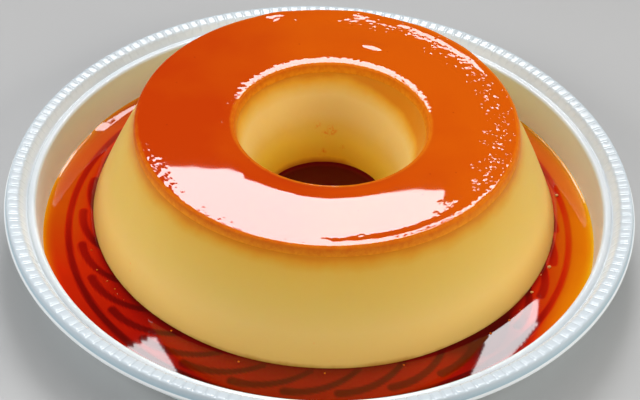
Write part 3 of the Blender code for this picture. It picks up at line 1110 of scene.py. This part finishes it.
def makeBubbles():
    material, tree, shader = startMaterial("bubble skin", Roughness=0.04, IOR=1.45)
    tone = addRamp(tree, addNoise(tree, 0.004, 1.0), [(0.3, (0.50, 0.05, 0.001)), (0.7, (0.74, 0.20, 0.006))])
    tree.links.new(tone, shader["Base Color"])
    values = {
        "Centre": (flanCentre.x, flanCentre.y, poolHigh.z),
        "Inner radius": flanRadius + 0.6 * mm,
        "Outer radius": flanRadius + 5.0 * mm,
        "First angle": radians(-178.0),
        "Last angle": radians(20.0),
        "Material": material,
    }
    values.update(loose["bubbles"])
    return runTree(addLump("sauce_bubbles", 0.0, 0.8, 0.0), scatterTree, values)


def makeCrumbs():
    material, tree, shader = startMaterial("custard crumb", Roughness=0.4, IOR=1.4)
    tone = addRamp(tree, addNoise(tree, 0.002, 2.0), [(0.3, (0.70, 0.30, 0.05)), (0.7, (0.84, 0.56, 0.22))])
    tree.links.new(tone, shader["Base Color"])
    values = {
        "Centre": (flanCentre.x, flanCentre.y, poolHigh.z + 0.3 * mm),
        "Inner radius": flanRadius - 0.1 * mm,
        "Outer radius": flanRadius + 2.6 * mm,
        "First angle": radians(-42.0),
        "Last angle": radians(6.0),
        "Material": material,
    }
    values.update(loose["crumbs"])
    return runTree(addLump("custard_crumbs", 0.9, 0.7, 2.0), scatterTree, values)


# every piece is built and handed to the frame

def handOver(item, slotName, *nodes):
    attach(item, "root")
    if nodes:
        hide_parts(*nodes)
    triangles = sum(len(face.vertices) - 2 for face in item.data.polygons)
    print("made", item.name, "with", triangles, "triangles")


handOver(makePlate(), "white_plastic", "plate")
handOver(makeCustard(), "custard", "custard")
handOver(makeCap(), "caramel_layer", "caramel_top")
handOver(makePool(), "caramel_sauce", "caramel_pool")
handOver(makeWell(), "caramel_sauce", "caramel_well")
handOver(makeBubbles(), "caramel_sauce")
handOver(makeCrumbs(), "custard")


# floor, light and camera

studio = {
    "floorSize": 6.0,
    "floorColour": (0.50, 0.50, 0.50),
    # the key is a lit opening behind the dish, built up from upright panels; its outline was
    # fitted to the highlights that it gives on the gloss, from one side
    "keyY": 0.60,
    "keyStep": 0.005,            # height of a panel where an edge of the opening slants
    "keyPanels": [               # its plain parts: left, right, low, high
        (-0.146, -0.066, 0.575, 0.607),
        (-0.066, -0.020, 0.584, 0.607),
        (-0.020, 0.110, 0.590, 0.607),
        (-0.146, 0.207, 0.607, 0.650),
        (-0.146, 0.160, 0.650, 0.680),
        (-0.090, 0.108, 0.680, 0.780),
        (-0.200, 0.210, 0.780, 1.300),
    ],
    "keyEdges": [                # its slanting parts: rows of (height, left, right)
        [(0.650, 0.160, 0.210), (0.666, 0.160, 0.203), (0.680, 0.160, 0.196), (0.681, 0.163, 0.195),
         (0.698, 0.159, 0.187), (0.722, 0.153, 0.175), (0.740, 0.147, 0.167), (0.780, 0.140, 0.160)],
        [(0.688, -0.156, -0.151), (0.696, -0.166, -0.148), (0.704, -0.180, -0.144),
         (0.721, -0.180, -0.137), (0.740, -0.180, -0.131), (0.780, -0.180, -0.125)],
    ],
    "keyRadiance": 11.3,
    "keyColour": (0.97, 0.98, 1.0),
    "fills": {                   # place, width, height, power, colour
        "overhead fill": ((0.0, 0.05, 1.30), 0.9, 0.8, 3.7, (1.0, 1.0, 1.0)),
        "front fill": ((-0.25, -1.15, 0.85), 1.0, 0.7, 3.8, (1.0, 0.98, 0.94)),
        "right fill": ((1.05, -0.35, 0.60), 0.6, 0.6, 9.2, (1.0, 0.98, 0.94)),
        "left fill": ((-1.05, -0.20, 0.60), 0.6, 0.6, 7.8, (0.98, 0.99, 1.0)),
    },
    "worldColour": (0.80, 0.78, 0.76),
    "worldStrength": 0.045,
    "lens": 101.25,
    "distance": 0.8005,
    "elevation": 40.6,
    "roll": 2.13,
    "aim": (0.0, -0.00683, 0.0241),
}


def makeFloor():
    half = studio["floorSize"] / 2
    corners = [(-half, -half, 0.0), (half, -half, 0.0), (half, half, 0.0), (-half, half, 0.0)]
    item = addMeshObject("studio_floor", corners, [(0, 1, 2, 3)])
    material, tree, shader = startMaterial("pale studio floor", Roughness=0.6)
    pale = studio["floorColour"]
    dull = tuple(0.96 * value for value in pale)
    tree.links.new(addRamp(tree, addNoise(tree, 0.2, 2.0), [(0.3, dull), (0.7, pale)]), shader["Base Color"])
    item.data.materials.append(material)


def addPanel(name, middle, target, width, height, power, colour):
    light = bpy.data.lights.new(name, "AREA")
    light.shape = "RECTANGLE"
    light.size, light.size_y = width, height
    light.energy = power
    light.color = colour
    item = addObject(name, light)
    item.location = middle
    item.rotation_euler = (Vector(target) - Vector(middle)).to_track_quat("-Z", "Y").to_euler()
    return item


def makeLights():
    # upright bright panels stand behind the dish and are what its glossy faces mirror
    panels = list(studio["keyPanels"])
    for rows in studio["keyEdges"]:
        heights, lefts, rights = zip(*rows)
        steps = ceil((heights[-1] - heights[0]) / studio["keyStep"])
        edges = np.linspace(heights[0], heights[-1], steps + 1)
        for bottom, top in zip(edges, edges[1:]):
            level = (bottom + top) / 2
            left, right = np.interp(level, heights, lefts), np.interp(level, heights, rights)
            panels.append((left, right, bottom, top))
    for left, right, bottom, top in panels:
        middle = Vector(((left + right) / 2, studio["keyY"], (bottom + top) / 2))
        power = studio["keyRadiance"] * pi * (right - left) * (top - bottom)
        ahead = middle + Vector((0.0, -1.0, 0.0))
        addPanel("key panel", middle, ahead, right - left, top - bottom, power, studio["keyColour"])
    # soft fills all round, kept out of the gloss
    for name, (place, width, height, power, colour) in studio["fills"].items():
        addPanel(name, place, (0.0, 0.0, 0.03), width, height, power, colour).visible_glossy = False
    world = bpy.data.worlds.new("studio air")
    world.use_nodes = True
    background = world.node_tree.nodes["Background"].inputs
    background["Color"].default_value = (*studio["worldColour"], 1.0)
    background["Strength"].default_value = studio["worldStrength"]
    bpy.context.scene.world = world


def makeCamera():
    lens = bpy.data.cameras.new("studio camera")
    lens.lens, lens.sensor_width = studio["lens"], 36.0
    lens.clip_start = 0.01
    item = addObject("studio camera", lens)
    tilt = radians(studio["elevation"])
    view = Vector((0.0, cos(tilt), -sin(tilt)))
    place = Vector(studio["aim"]) - view * studio["distance"]
    facing = view.to_track_quat("-Z", "Y").to_matrix().to_4x4()
    item.matrix_world = Matrix.Translation(place) @ facing @ Matrix.Rotation(radians(studio["roll"]), 4, "Z")
    bpy.context.scene.camera = item


makeFloor()
makeLights()
makeCamera()
bpy.context.scene.view_settings.view_transform = "Standard"
print("studio ready")
